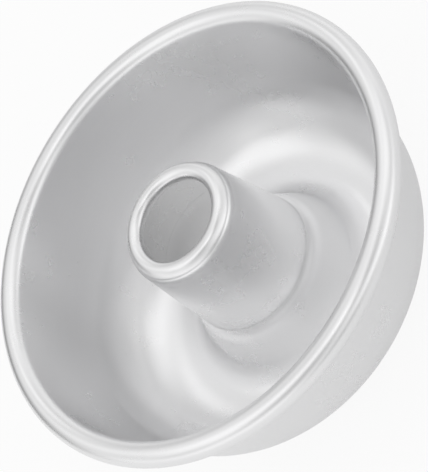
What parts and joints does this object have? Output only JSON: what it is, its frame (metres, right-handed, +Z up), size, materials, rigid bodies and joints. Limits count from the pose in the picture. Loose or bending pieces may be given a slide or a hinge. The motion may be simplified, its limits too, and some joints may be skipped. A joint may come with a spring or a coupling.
{
  "type": "angel food cake pan",
  "caption": "Small round tube pan of satin aluminium sheet with a rolled rim, rounded bottom and raised centre tube, for baking an individual angel food cake.",
  "frame": {"origin": "centre of the flat ring that the pan stands on", "axes": "+Z up along the pan's own axis, through the centre tube; the pan is round, so X and Y are free"},
  "size_m": [0.121, 0.121, 0.0476],
  "materials": {
    "satin_aluminium": "satin"
  },
  "bodies": {
    "root": {"pan_body": "satin_aluminium", "centre_tube": "satin_aluminium"}
  },
  "joints": []
}
